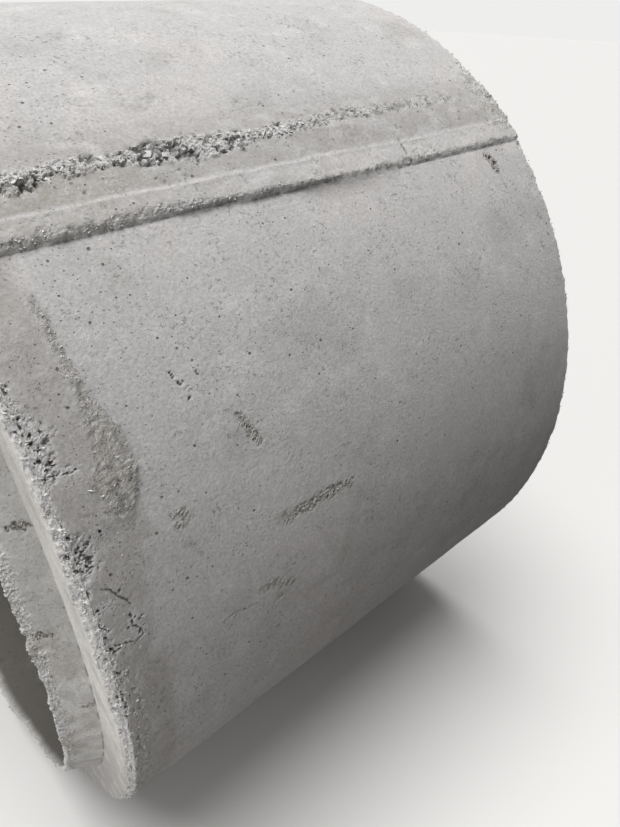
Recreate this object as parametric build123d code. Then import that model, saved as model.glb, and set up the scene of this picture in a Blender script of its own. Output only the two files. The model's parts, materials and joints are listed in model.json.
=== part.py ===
from build123d import *

import os
from math import cos, degrees, radians, sin

# A precast concrete sewer pipe with a rebated joint, cast in one pour and lying on its barrel.
# The bore runs along X: the tongue points to -X and the groove opens to +X. +Z is up.
# The origin is on the ground, under the middle of the pipe. Lengths are millimetres.

# Barrel
bore_diameter = 1200.0
wall = 100.0
laying_length = 1000.0

# Tongue, on the bore side of the wall, tapered so that the next pipe slides over it
tongue_length = 48.0
tongue_root_thickness = 30.0
tongue_tip_thickness = 6.0
tongue_root_radius = 5.0

# Room that a tongue has when it is home in the groove of the next pipe
joint_side_clearance = 4.0
joint_end_clearance = 4.0

# Outer arrises, broken back
shoulder_arris = 12.0
groove_arris = 6.0

# Joint of the two mould halves on the -Y side. Upwards from the lowest line: a ridge with a
# sloping foot and a small lip, a band that is a little lower, the stub of the fin where cement
# ran out between the halves, and the smear above it that fades into the barrel.
ridge_elevation = 44.8
ridge_width = 33.0
ridge_height = 10.0
ridge_foot = 8.0
ridge_lip = 2.0
band_width = 45.0
band_height = 8.0
fin_width = 20.0
fin_height = 12.0
smear_width = 25.0
smear_height = 3.0

# The other joint of the mould, half a turn away, left a low flash line
flash_width = 16.0
flash_height = 3.0

bore_radius = bore_diameter / 2
barrel_radius = bore_radius + wall
axis_height = barrel_radius
overall_length = laying_length + tongue_length
tongue_tip_x = -overall_length / 2
shoulder_x = tongue_tip_x + tongue_length
groove_face_x = shoulder_x + laying_length


def on_section(angle, radius):
    """A point of the barrel's section, at an angle upwards from the -Y side about the axis."""
    return (shoulder_x, -radius * cos(radians(angle)), radius * sin(radians(angle)))


def arc_degrees(width):
    """The angle that a width takes up on the barrel."""
    return degrees(width / barrel_radius)


def stepped_line(start_angle, steps):
    """A line of the section from (width, radius) steps, each as wide as it says."""
    angle = start_angle
    points = []
    for width, radius in steps:
        angle += arc_degrees(width)
        points.append(on_section(angle, radius))
    return Polyline(points), angle


def barrel_section():
    """The barrel's outer outline: two arcs, with a mould joint between them at each end."""
    ridge_top = barrel_radius + ridge_height
    band_top = barrel_radius + band_height
    fin_top = barrel_radius + fin_height
    seam, seam_end = stepped_line(
        ridge_elevation,
        [
            (0, barrel_radius),
            (ridge_foot, ridge_top),
            (ridge_width - ridge_foot - ridge_lip, ridge_top),
            (ridge_lip, band_top),
            (band_width, band_top),
            (fin_width / 3, fin_top),
            (fin_width / 3, fin_top),
            (fin_width / 3, barrel_radius + smear_height),
            (smear_width, barrel_radius),
        ],
    )
    flash_start = ridge_elevation + 180
    flash, flash_end = stepped_line(
        flash_start,
        [
            (0, barrel_radius),
            (flash_width / 3, barrel_radius + flash_height),
            (flash_width / 3, barrel_radius + flash_height),
            (flash_width / 3, barrel_radius),
        ],
    )
    seam_start = ridge_elevation + 360
    upper = ThreePointArc(
        seam @ 1, on_section((seam_end + flash_start) / 2, barrel_radius), flash @ 0
    )
    lower = ThreePointArc(
        flash @ 1, on_section((flash_end + seam_start) / 2, barrel_radius), seam @ 0
    )
    return make_face(seam + upper + flash + lower)


def turned_section(points):
    """A flat outline above the bore's axis, from (x, radius) points."""
    return make_face(Polyline([(x, 0, radius) for x, radius in points], close=True))


def barrel():
    """The barrel without its bore, with both ends' outer arrises cut back."""
    bar = extrude(barrel_section(), amount=laying_length, dir=(1, 0, 0))
    over = max(ridge_height, fin_height, flash_height) + shoulder_arris
    envelope = revolve(
        turned_section(
            [
                (shoulder_x, 0),
                (shoulder_x, barrel_radius - shoulder_arris),
                (shoulder_x + shoulder_arris + over, barrel_radius + over),
                (groove_face_x - groove_arris - over, barrel_radius + over),
                (groove_face_x, barrel_radius - groove_arris),
                (groove_face_x, 0),
            ]
        ),
        Axis.X,
    )
    return bar & envelope


def tongue():
    """The tongue without its bore, with a small hollow where it meets the shoulder."""
    root = bore_radius + tongue_root_thickness
    inside_x = shoulder_x + tongue_length
    outline = turned_section(
        [
            (tongue_tip_x, 0),
            (tongue_tip_x, bore_radius + tongue_tip_thickness),
            (shoulder_x, root),
            (shoulder_x, root + 2 * tongue_root_radius),
            (inside_x, root + 2 * tongue_root_radius),
            (inside_x, 0),
        ]
    )
    corner = outline.vertices().sort_by_distance((shoulder_x, 0, root))[0]
    return revolve(fillet(corner, tongue_root_radius), Axis.X)


def bore_and_groove():
    """What the core leaves: the bore, and the groove that a tongue fits with its clearances."""
    taper = (tongue_root_thickness - tongue_tip_thickness) / tongue_length
    depth = tongue_length + joint_end_clearance
    mouth = bore_radius + tongue_root_thickness + joint_side_clearance
    lead_in = tongue_root_radius
    return revolve(
        turned_section(
            [
                (tongue_tip_x - wall, 0),
                (tongue_tip_x - wall, bore_radius),
                (groove_face_x - depth, bore_radius),
                (groove_face_x - depth, mouth - taper * depth),
                (groove_face_x - lead_in, mouth - taper * lead_in),
                (groove_face_x, mouth + lead_in),
                (groove_face_x + wall, mouth + lead_in),
                (groove_face_x + wall, 0),
            ]
        ),
        Axis.X,
    )


pipe = barrel() + tongue() - bore_and_groove()
pipe = Pos(0, 0, axis_height) * pipe

os.makedirs("parts", exist_ok=True)
export_step(pipe, "parts/pipe.step")
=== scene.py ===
import json
import math
import random

import bmesh
import bpy
from mathutils import Matrix, Vector, noise


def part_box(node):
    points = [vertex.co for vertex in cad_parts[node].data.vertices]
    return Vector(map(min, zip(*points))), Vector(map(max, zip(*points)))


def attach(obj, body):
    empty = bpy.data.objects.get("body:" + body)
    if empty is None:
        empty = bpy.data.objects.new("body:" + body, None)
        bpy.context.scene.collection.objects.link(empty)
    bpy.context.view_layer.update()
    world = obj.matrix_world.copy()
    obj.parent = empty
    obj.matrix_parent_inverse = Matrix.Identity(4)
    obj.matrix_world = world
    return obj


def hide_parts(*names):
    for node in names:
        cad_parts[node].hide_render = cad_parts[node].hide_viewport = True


bl_info = {
    "name": "Concrete sewer pipe",
    "version": (1, 0, 0),
    "blender": (4, 5, 0),
    "location": "View3D > Sidebar > Pipe",
    "description": "Casts a rebated concrete pipe with its mould seam, broken arrises and ragged tongue",
    "category": "Add Mesh",
}

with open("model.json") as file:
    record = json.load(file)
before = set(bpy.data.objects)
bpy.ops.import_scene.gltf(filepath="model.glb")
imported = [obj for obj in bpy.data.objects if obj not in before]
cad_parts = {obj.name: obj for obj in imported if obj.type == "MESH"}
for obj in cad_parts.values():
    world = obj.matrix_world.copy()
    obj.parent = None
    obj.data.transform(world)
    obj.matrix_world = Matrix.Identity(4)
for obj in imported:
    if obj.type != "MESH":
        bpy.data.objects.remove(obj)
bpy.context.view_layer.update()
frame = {"record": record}

NODE = "pipe"
LOW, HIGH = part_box(NODE)
BORE = next(m for m in frame["record"]["mounts"] if m["name"] == "bore")
BORE_RADIUS = BORE["dims"]["r_mm"] / 1000
BARREL_RADIUS = (HIGH.z - LOW.z) / 2
AXIS_HEIGHT = (HIGH.z + LOW.z) / 2


def paint(red, green, blue):
    """A linear colour from the 0 to 255 values that a screen shows."""
    def linear(value):
        value /= 255
        return value / 12.92 if value <= 0.04045 else ((value + 0.055) / 1.055) ** 2.4

    return (linear(red), linear(green), linear(blue))


def length(name, text, metres):
    """A length that the sidebar shows in scene units."""
    return bpy.props.FloatProperty(
        name=name, description=text, default=metres, unit="LENGTH", precision=4
    )


def strength(name, text, value):
    """A strength of light, where 1 shows a colour as it is written."""
    return bpy.props.FloatProperty(name=name, description=text, default=value, min=0.0)


def power(name, text, watts):
    """The power of a lamp."""
    return bpy.props.FloatProperty(name=name, description=text, default=watts, min=0.0, unit="POWER")


def degrees(name, text, value):
    """An angle, given here in degrees."""
    return bpy.props.FloatProperty(
        name=name, description=text, default=math.radians(value), subtype="ANGLE"
    )


def colour(name, text, red, green, blue):
    """A colour of a finish."""
    return bpy.props.FloatVectorProperty(
        name=name, description=text, default=paint(red, green, blue), size=3, subtype="COLOR",
        min=0.0, max=1.0,
    )


class PipeSizes(bpy.types.PropertyGroup):
    tongue_length: length("Tongue length", "How far the tongue stands out of the shoulder", 0.048)
    tongue_root: length("Tongue root", "Thickness of the tongue at the shoulder", 0.030)
    tongue_tip: length("Tongue tip", "Thickness of the tongue at its tip", 0.006)
    side_room: length("Side room", "Room round a tongue in the groove", 0.004)
    end_room: length("End room", "Room past a tongue's tip in the groove", 0.004)
    lead_in: length("Lead-in", "Chamfer at the groove's mouth", 0.005)
    shoulder_arris: length("Shoulder arris", "Width of the broken outer edge", 0.012)
    groove_arris: length("Groove arris", "Width of the outer edge at the groove", 0.006)
    ridge_elevation: degrees("Ridge elevation", "Lowest line of the seam, above the horizontal", 44.8)
    ridge_width: length("Ridge width", "Width of the seam's ridge", 0.033)
    ridge_height: length("Ridge height", "How far the ridge stands proud", 0.010)
    band_width: length("Band width", "Width of the band above the ridge", 0.045)
    band_height: length("Band height", "How far the band stands proud", 0.0075)
    fin_width: length("Fin width", "Width of the broken fin above the band", 0.022)
    smear_width: length("Smear width", "Width of the smear above the fin", 0.025)
    flash_width: length("Flash width", "Width of the flash line on the far side", 0.016)
    flash_height: length("Flash height", "Height of the flash line on the far side", 0.003)


class CastWear(bpy.types.PropertyGroup):
    chip_depth: length("Chip depth", "How deep the broken edges and the seam are chipped", 0.008)
    tip_loss: length("Tip loss", "How far the tongue's tip is broken back", 0.006)
    waviness: length("Waviness", "How far the cast face swells and dips", 0.0012)
    collar_height: length("Collar height", "How far the mortar collar stands proud", 0.0025)
    seed: bpy.props.IntProperty(name="Seed", description="Which chips and pits there are", default=11)


class ConcreteColours(bpy.types.PropertyGroup):
    face: colour("Cast face", "Cement skin of the barrel", 206, 203, 201)
    face_cool: colour("Cast face, cool", "Cooler cloud in the cement skin", 200, 199, 198)
    bloom: colour("Bloom", "Paler cloud in the cement skin", 214, 211, 209)
    # Colour of the shoulder's smooth cement, also painted as light on the seam ridge's foot and lip.
    paste: colour("Paste and painted light", "Smooth bright cement of the shoulder", 232, 229, 224)
    # Colour of grey-brown smears, and of the painted shade on the shoulder's low part and the tongue's
    # top.
    smear_and_shade: colour("Dull smear and painted shade", "Grey-brown smear in the skin and along the seam", 181, 178, 175)
    broken: colour("Broken face", "Fresh break with its grit", 210, 209, 207)
    fleck: colour("Fleck", "Pale chip in a broken face", 237, 236, 234)
    stain: colour("Stain", "Beige and brown mortar and dust", 166, 159, 149)
    # Colour of the painted shade inside the bore and on the tongue's top.
    painted_shade: colour("Painted shade", "Dark, damp inside of the bore", 98, 95, 90)
    # Colour of the painted shade in pores, hollows, gaps, cracks and scuffs.
    hole_shade: colour("Hole shade", "Dark inside of a pore", 66, 64, 61)


class StudioSettings(bpy.types.PropertyGroup):
    horizon: strength("Light at the horizon", "Strength of the soft light from the sides", 0.02)
    zenith: strength("Light overhead", "Strength of the soft light from straight above", 0.27)
    backdrop: strength("Backdrop", "How pale the background is", 0.86)
    overhead: strength("Overhead lamp", "Strength of the wide lamp above", 3.15)
    overhead_spread: degrees("Overhead spread", "How wide the lamp above is", 42)
    overhead_lean: degrees("Overhead lean", "How far the lamp above leans to the tongue's end", 6)
    overhead_back: degrees("Overhead back", "How far the lamp above leans away from the camera", 2)
    end: power("End lamp", "Power of the soft lamp past the tongue's end", 12.0)
    fill: power("Fill lamp", "Power of the low soft lamp beside the near end", 2.6)
    floor: colour("Floor", "Pale floor as the camera sees it", 222, 221, 219)
    floor_bounce: colour("Floor bounce", "How pale the floor is to the light under the pipe", 36, 31, 26)
    lens: bpy.props.FloatProperty(name="Lens", description="Focal length in millimetres", default=28.52)
    camera_right: length("Camera along the bore", "Camera's place along X", -0.606)
    camera_back: length("Camera back", "Camera's distance from the bore's axis", 1.191)
    camera_up: length("Camera height", "Camera's height above the ground", 1.428)
    heading: degrees("Heading", "Camera's turn from +X towards +Y", 48.08)
    pitch: degrees("Pitch", "How far the camera looks down", 33.43)


def sizes():
    return bpy.context.scene.pipe_sizes


def wear():
    return bpy.context.scene.pipe_wear


def colours():
    return bpy.context.scene.pipe_colours


def studio():
    return bpy.context.scene.pipe_studio


class Places:
    """Where the pipe's corners are, worked out from its sizes and the frame."""

    def __init__(self, s):
        self.tip_x = LOW.x
        self.shoulder_x = LOW.x + s.tongue_length
        self.groove_x = HIGH.x
        self.tip_radius = BORE_RADIUS + s.tongue_tip
        self.root_radius = BORE_RADIUS + s.tongue_root
        self.taper = (s.tongue_root - s.tongue_tip) / s.tongue_length
        self.groove_depth = s.tongue_length + s.end_room
        self.mouth_radius = self.root_radius + s.side_room
        self.bottom_x = self.groove_x - self.groove_depth
        self.bottom_radius = self.mouth_radius - self.taper * self.groove_depth


def polar(point):
    """(x, elevation in degrees above the -Y side, radius) of a point about the bore's axis."""
    up = point.z - AXIS_HEIGHT
    return point.x, math.degrees(math.atan2(up, -point.y)), math.hypot(point.y, up)


def from_polar(x, elevation, radius):
    """The point at x, an elevation in degrees above the -Y side, and a radius."""
    turn = math.radians(elevation)
    return Vector((x, -radius * math.cos(turn), AXIS_HEIGHT + radius * math.sin(turn)))


def arc(width):
    """Degrees that a width takes up round the barrel."""
    return math.degrees(width / BARREL_RADIUS)


def fade(value, start, end):
    """0 at start and 1 at end, smooth between them. start may be above end."""
    t = min(max((value - start) / (end - start), 0.0), 1.0)
    return t * t * (3 - 2 * t)


def along(value, points):
    """A broken line through (place, height) points, level past its ends."""
    if value <= points[0][0]:
        return points[0][1]
    for (a, low), (b, high) in zip(points, points[1:]):
        if value <= b:
            return low + (high - low) * (value - a) / (b - a)
    return points[-1][1]


def waves(point, size, octaves=2):
    """Soft noise from -1 to 1, with waves about size long."""
    return noise.fractal(point / size, 1.0, 2.0, octaves)


def chance(point):
    """A value from 0 to 1 that is the same for one point each time."""
    return 0.5 + 0.5 * noise.cell(point)


def shards(point, size):
    """From about -1 to 1: a surface broken into flat tilted faces, each about size across."""
    spot = point / size
    cell = noise.voronoi(spot)[1][0]
    tilt = noise.cell_vector(cell * 7.3) - Vector((0.5, 0.5, 0.5))
    return chance(cell * 3.7) - 0.5 + 1.6 * tilt.dot(spot - cell)


def pits(point, size, share_of_cells):
    """From 0 to 1: ragged hollows, about size apart, in a share of the cells."""
    spot = point / size + 0.25 * noise.noise_vector(point / size * 2.1)
    distances, cells = noise.voronoi(spot)
    if chance(cells[0] * 5.9) > share_of_cells:
        return 0.0
    return fade(distances[0], 0.42, 0.26)


def crevices(point, size, width):
    """1 in the narrow gaps between blocks about size across, and 0 on the blocks."""
    distances, _ = noise.voronoi(point / size + 0.3 * noise.noise_vector(point / size * 1.7))
    return fade(distances[1] - distances[0], width / size, 0.25 * width / size)


def unrolled(x, elevation):
    """A place on the barrel as a flat point, in metres."""
    return Vector((x, math.radians(elevation) * BARREL_RADIUS, 0.0))


def from_line(x, elevation, points):
    """Distance over the barrel to a broken line of (x, elevation) points, and the share along it."""
    here = unrolled(x, elevation)
    best, share_along = 1.0, 0.0
    for i, (a, b) in enumerate(zip(points, points[1:])):
        start, end = unrolled(*a), unrolled(*b)
        step = end - start
        t = min(max((here - start).dot(step) / step.length_squared, 0.0), 1.0)
        gap = (here - start - step * t).length
        if gap < best:
            best, share_along = gap, (i + t) / (len(points) - 1)
    return best, share_along


# Marks of the casting, at (x, elevation in degrees above the -Y side) on the barrel.
# Clusters of air holes in the mortar behind the shoulder: (x, elevation, half length, half height).
HOLE_CLUSTERS = [
    (-0.466, 28.9, 0.011, 0.010), (-0.455, 27.4, 0.011, 0.009), (-0.445, 26.0, 0.020, 0.006),
    (-0.460, 30.5, 0.016, 0.014), (-0.440, 19.9, 0.015, 0.007), (-0.453, 18.7, 0.014, 0.011),
    (-0.453, 17.1, 0.012, 0.007), (-0.424, 9.3, 0.010, 0.020), (-0.445, 8.0, 0.016, 0.005),
    (-0.459, 8.0, 0.010, 0.006), (-0.452, 12.9, 0.012, 0.008),
]
# Cracks in the mortar and on the seam.
CRACKS = [
    [(-0.449, 14.7), (-0.440, 14.2), (-0.434, 13.2), (-0.427, 12.4), (-0.420, 12.5)],
    [(-0.434, 13.2), (-0.428, 14.0)],
    [(-0.427, 12.4), (-0.424, 11.7)],
    [
        (-0.427, 10.8), (-0.428, 9.4), (-0.421, 8.6), (-0.420, 7.8), (-0.430, 7.5), (-0.438, 7.9),
        (-0.454, 8.3),
    ],
    [(-0.456, 26.3), (-0.446, 25.9), (-0.433, 25.8)],
    [(-0.462, 8.4), (-0.455, 7.7), (-0.448, 7.8)],
    [(-0.180, 51.2), (-0.172, 50.0), (-0.163, 48.6), (-0.160, 47.8)],
    [(-0.203, 48.9), (-0.190, 47.7)],
    [(-0.297, 49.3), (-0.291, 47.9)],
    [(-0.190, 53.4), (-0.194, 51.8)],
    [(0.222, 47.7), (0.223, 46.3), (0.225, 45.2), (0.229, 44.4)],
    [(0.282, 45.9), (0.289, 45.0), (0.294, 44.5)],
]
# Scraped and torn marks: (points, width, roughness from 0 to 1).
SCARS = [
    ([(-0.227, 24.3), (-0.220, 22.8), (-0.211, 20.9)], 0.014, 1.0),
    ([(-0.174, 10.9), (-0.150, 11.0), (-0.131, 11.0), (-0.108, 10.9), (-0.085, 10.8)], 0.022, 1.0),
    ([(-0.196, 11.5), (-0.190, 10.6)], 0.016, 0.8),
    ([(-0.345, 18.0), (-0.332, 17.8), (-0.326, 17.0), (-0.333, 16.6), (-0.341, 16.4)], 0.013, 0.8),
    ([(-0.339, 14.4), (-0.331, 13.7), (-0.323, 12.4)], 0.010, 0.5),
    ([(-0.251, 3.7), (-0.233, 3.9), (-0.210, 2.3), (-0.201, 2.2)], 0.018, 0.8),
    ([(-0.229, 0.2), (-0.214, 1.0)], 0.014, 0.6),
    ([(-0.313, 2.7), (-0.297, 3.0), (-0.281, 2.6), (-0.261, 2.3)], 0.004, 1.0),
    ([(-0.183, 58.6), (-0.160, 58.2), (-0.133, 59.4)], 0.020, 0.35),
    ([(0.410, 43.0), (0.419, 42.6), (0.423, 41.6), (0.422, 40.7)], 0.020, 1.0),
    ([(0.486, 32.9), (0.492, 32.2)], 0.010, 0.8),
    ([(0.470, 28.7), (0.474, 28.0)], 0.009, 0.8),
    ([(0.247, 17.0), (0.251, 15.8)], 0.010, 0.6),
    ([(0.303, 15.8), (0.309, 14.8)], 0.010, 0.6),
]
# Single deep holes: (x, elevation, radius).
DEEP_HOLES = [
    (0.4235, 41.7, 0.0046), (0.4185, 42.6, 0.0034), (0.4120, 42.9, 0.0024), (-0.2915, 30.60, 0.0015),
    (-0.2910, 30.35, 0.0016), (-0.2900, 30.12, 0.0018), (-0.2862, 29.45, 0.0015),
    (-0.2850, 29.20, 0.0018), (-0.2800, 27.7, 0.0018), (-0.2610, 29.8, 0.0015),
]
# The dark, sandy outer band of the mortar collar: its near and far edges along x, by elevation.
COLLAR_NEAR = [
    (19, -0.400), (21, -0.414), (24.5, -0.420), (25.5, -0.406), (28.5, -0.401), (31, -0.397),
    (34, -0.399), (41, -0.403),
]
COLLAR_FAR = [
    (19, -0.394), (21, -0.381), (22.7, -0.373), (24, -0.368), (28, -0.369), (30.8, -0.385),
    (33.5, -0.390), (36, -0.393), (41, -0.396),
]
# Craters in the tongue's face: beside a joint line, stained brown, and near the tip.
TONGUE_CRATERS = [(-0.484, -5.8), (-0.490, 21.3), (-0.509, 7.9)]
# How wide the shoulder's broken edge is on the barrel, by elevation.
ARRIS_BREAK = [
    (-90, 0.009), (-20, 0.009), (-8, 0.008), (-4, 0.011), (0, 0.017), (6, 0.019), (8, 0.025),
    (11, 0.019), (14, 0.014), (16, 0.024), (17, 0.034), (19.5, 0.041), (20.3, 0.034), (21, 0.015),
    (25, 0.014), (26, 0.036), (27.5, 0.030), (29.5, 0.038), (31.5, 0.027), (34.5, 0.016), (45, 0.012),
    (60, 0.010), (180, 0.010),
]
# How far the break reaches in from the barrel on the shoulder, by elevation.
ARRIS_REACH = [(-8, 0.0090), (0, 0.0120), (14, 0.0130), (20, 0.0100), (45, 0.0090)]
# Where the seam's ridge is torn across: the place along x and half the length.
TORN_CREST = [(-0.352, 0.024), (0.035, 0.014), (0.256, 0.034)]
# The line of chips along the seam: its elevation, its width and how rough it is, along x.
FIN_CENTRE = [(-0.38, 51.1), (-0.30, 51.6), (-0.10, 51.6), (0.06, 52.1), (0.14, 52.7), (0.47, 52.7)]
FIN_WIDTH = [
    (-0.40, 0.024), (-0.35, 0.032), (-0.25, 0.026), (-0.15, 0.040), (-0.08, 0.033), (0.0, 0.024),
    (0.13, 0.030), (0.25, 0.020), (0.38, 0.024), (0.47, 0.014),
]
FIN_ROUGHNESS = [
    (-0.42, 0.8), (-0.36, 1.0), (0.0, 1.0), (0.06, 0.7), (0.38, 0.6), (0.43, 0.3), (0.50, 0.2),
]

# Layers on the mesh for the material: broken faces, bright cement with painted light, smears with
# painted shade, painted shade in recesses, warm stains, and painted shade in the bore and on the
# tongue's top.
LAYERS = ("broken", "paste", "smear_and_shade", "recess_shade", "warm", "painted_shade")
BROKEN, PASTE_AND_LIGHT, SMEAR_AND_SHADE, RECESS_SHADE, WARM, PAINTED_SHADE = range(len(LAYERS))

COARSE = 0.024        # cells of the wall before any are halved
COLUMNS = 180         # cells round the pipe before any are halved
HAIR = 0.001          # room for rounding where a place is tested
NEAR_END = 0.13       # how far the dressed near end reaches past the shoulder
TIP_REACH = 0.03      # how far the broken tip reaches back along the bore
# Elevations of the seam, of the flash line on the far side, of the marks that are cut in the mesh,
# and of the scars with small cells of their own.
SEAM_SPAN = (43.5, 58.5)
FLASH_SPAN = (-135.2, -133.9)
MARKED_SPAN = (-70, 70)
SCARRED_SPAN = (-3, 62)
JOINT_LINES = (-21.5, -5.7, 5.5)        # elevations of the fine lines across the tongue
CLUSTER_SPAN = (-0.48, -0.40)        # where along x the clusters of air holes are

# How many stones each broken place gets, and how many a scar gets at full roughness.
FIN_STONES, FIN_CRUMBS, FOOT_STONES = 1500, 500, 500
ARRIS_STONES, ARRIS_CRUMBS, SHOULDER_STONES = 4000, 350, 2200
COLLAR_STONES, RIM_STONES, TONGUE_STONES, SCAR_STONES = 900, 300, 1900, 14


def section_points(s, at):
    """Points of the wall's section as (x, radius), from the tongue's tip round to the bore.

    Each corner has the spacing of the stretch that starts at it.
    """
    corners = [
        (at.tip_x, BORE_RADIUS, COARSE),
        (at.tip_x, at.tip_radius, COARSE),
        (at.shoulder_x, at.root_radius, COARSE),
        (at.shoulder_x, BARREL_RADIUS - s.shoulder_arris, COARSE),
        (at.shoulder_x + s.shoulder_arris, BARREL_RADIUS, COARSE),
        (at.shoulder_x + NEAR_END, BARREL_RADIUS, 0.032),
        (at.groove_x - 0.042, BARREL_RADIUS, COARSE),
        (at.groove_x - s.groove_arris, BARREL_RADIUS, COARSE),
        (at.groove_x, BARREL_RADIUS - s.groove_arris, COARSE),
        (at.groove_x, at.mouth_radius + s.lead_in, COARSE),
        (at.groove_x - s.lead_in, at.mouth_radius - at.taper * s.lead_in, 0.05),
        (at.bottom_x, at.bottom_radius, COARSE),
        (at.bottom_x, BORE_RADIUS, 0.1),
        (at.tip_x + TIP_REACH, BORE_RADIUS, 0.015),
    ]
    points = []
    for (x0, r0, spacing), (x1, r1, _) in zip(corners, corners[1:] + corners[:1]):
        count = max(1, math.ceil(math.hypot(x1 - x0, r1 - r0) / spacing - 0.001))
        points += [(x0 + (x1 - x0) * i / count, r0 + (r1 - r0) * i / count) for i in range(count)]
    return points


def turned_wall(s, at):
    """The pipe's wall as a closed mesh, turned about the bore's axis from its section."""
    bm = bmesh.new()
    ring = [bm.verts.new(from_polar(x, 0.0, radius)) for x, radius in section_points(s, at)]
    section = ring + [bm.edges.new((a, b)) for a, b in zip(ring, ring[1:] + ring[:1])]
    bmesh.ops.spin(
        bm, geom=section, cent=(0, 0, AXIS_HEIGHT), axis=(-1, 0, 0), dvec=(0, 0, 0), angle=2 * math.pi,
        space=Matrix.Identity(4), steps=COLUMNS, use_merge=True, use_duplicate=False,
    )
    bmesh.ops.recalc_face_normals(bm, faces=bm.faces)
    return bm


def fine_zones(s, at):
    """Where the wall has smaller cells: how many times they are halved, and between which
    x, elevations and radii."""
    tip, shoulder, groove = at.tip_x, at.shoulder_x, at.groove_x
    ring, front, seam, ridge = (-180, 180), (-98, 84), (44.6, 55.0), (43.9, 47.8)
    root, above_bore = at.root_radius, BORE_RADIUS + HAIR
    over = BARREL_RADIUS + HAIR

    def within(depth):
        return BARREL_RADIUS - depth, over

    return [
        (1, (tip, shoulder), ring, (above_bore, root + HAIR)),
        (2, (tip, shoulder), front, (above_bore, root + HAIR)),
        (3, (tip, tip + 0.018), (-84, 42), (BORE_RADIUS - HAIR, root)),
        (4, (tip, tip + 0.010), (-50, 26), (above_bore, root)),
        (3, (shoulder - 0.005, shoulder), (-52, 14), (root - 0.007, root + 0.007)),
        (2, (shoulder - HAIR, shoulder + HAIR), (-95, 30), (root - HAIR, root + 0.03)),
        (1, (shoulder, shoulder + 0.05), ring, within(0.026)),
        (2, (shoulder, shoulder + 0.066), front, within(0.026)),
        (3, (shoulder, shoulder + 0.042), (-62, 56), within(0.022)),
        (4, (shoulder, shoulder + 0.036), (-10, 35), within(0.018)),
        (4, (shoulder, shoulder + 0.060), (7, 15), within(HAIR)),
        (4, (shoulder, shoulder + 0.054), (16, 21), within(HAIR)),
        (4, (shoulder, shoulder + 0.046), (25, 31), within(HAIR)),
        (3, (shoulder + 0.06, shoulder + 0.115), (17, 40), within(HAIR)),
        (2, (shoulder, groove), seam, within(0.008)),
        (3, (shoulder, 0.2), seam, within(0.008)),
        (3, (0.2, groove), ridge, within(0.008)),
        (2, (shoulder, groove), FLASH_SPAN, within(0.008)),
        (1, (groove - 0.03, groove), ring, within(0.012)),
        (2, (groove - 0.03, groove), front, within(0.012)),
        (3, (groove - 0.020, groove), (-10, 75), within(0.012)),
    ] + [
        (4, (x - 0.012, x + 0.012), (level - 1.3, level + 1.3), (above_bore, root + HAIR))
        for x, level in TONGUE_CRATERS
    ]


def refine(bm, wanted):
    """Halves the cells whose corners are all wanted."""
    chosen = {v for v in bm.verts if wanted(*polar(v.co))}
    edges = [e for e in bm.edges if e.verts[0] in chosen and e.verts[1] in chosen]
    bmesh.ops.subdivide_edges(bm, edges=edges, cuts=1, use_grid_fill=True)


def refine_where_it_shows(bm, s, at):
    """Small cells where the casting is broken or marked, and smaller ones near the camera."""
    zones = fine_zones(s, at)
    for level in range(1, max(zone[0] for zone in zones) + 1):
        cell = COARSE / 2 ** (level - 1)
        turn = 360 / COLUMNS / 2 ** (level - 1)
        here = [zone[1:] for zone in zones if zone[0] >= level]

        def wanted(x, elevation, radius):
            for (x0, x1), (e0, e1), (r0, r1) in here:
                if x0 - cell < x < x1 + cell and e0 - turn < elevation < e1 + turn and r0 < radius < r1:
                    return True
            if radius < BARREL_RADIUS - HAIR or not SCARRED_SPAN[0] < elevation < SCARRED_SPAN[1]:
                return False
            spot = unrolled(x, elevation)
            if any(
                (spot - unrolled(middle, level_of_hole)).length < hole_radius + 1.7 * cell
                for middle, level_of_hole, hole_radius in DEEP_HOLES
            ):
                return True
            return any(
                points[0][0] - 0.05 < x < points[-1][0] + 0.05
                and from_line(x, elevation, points)[0] < width / 2 + HAIR + 1.4 * cell
                for points, width, roughness in SCARS
                if level < 4 or roughness == 1.0
            )

        refine(bm, wanted)


def seam_foot(x, spot):
    """How wide the rough face at the foot of the seam's ridge is, and how low it starts."""
    width = along(x, [(-0.40, 0.0118), (-0.22, 0.0108), (-0.14, 0.0070), (0.05, 0.006), (0.25, 0.0075)])
    width *= 1 + 0.5 * waves(spot + Vector((0, 0, 5)), 0.05) + 0.4 * waves(spot, 0.012)
    start = 0.0013 * waves(spot, 0.012) + 0.0016 * waves(spot, 0.05)
    start -= along(x, [(-0.22, 0.0), (0.1, 0.006)])
    return max(width, 0.003), start


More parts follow.
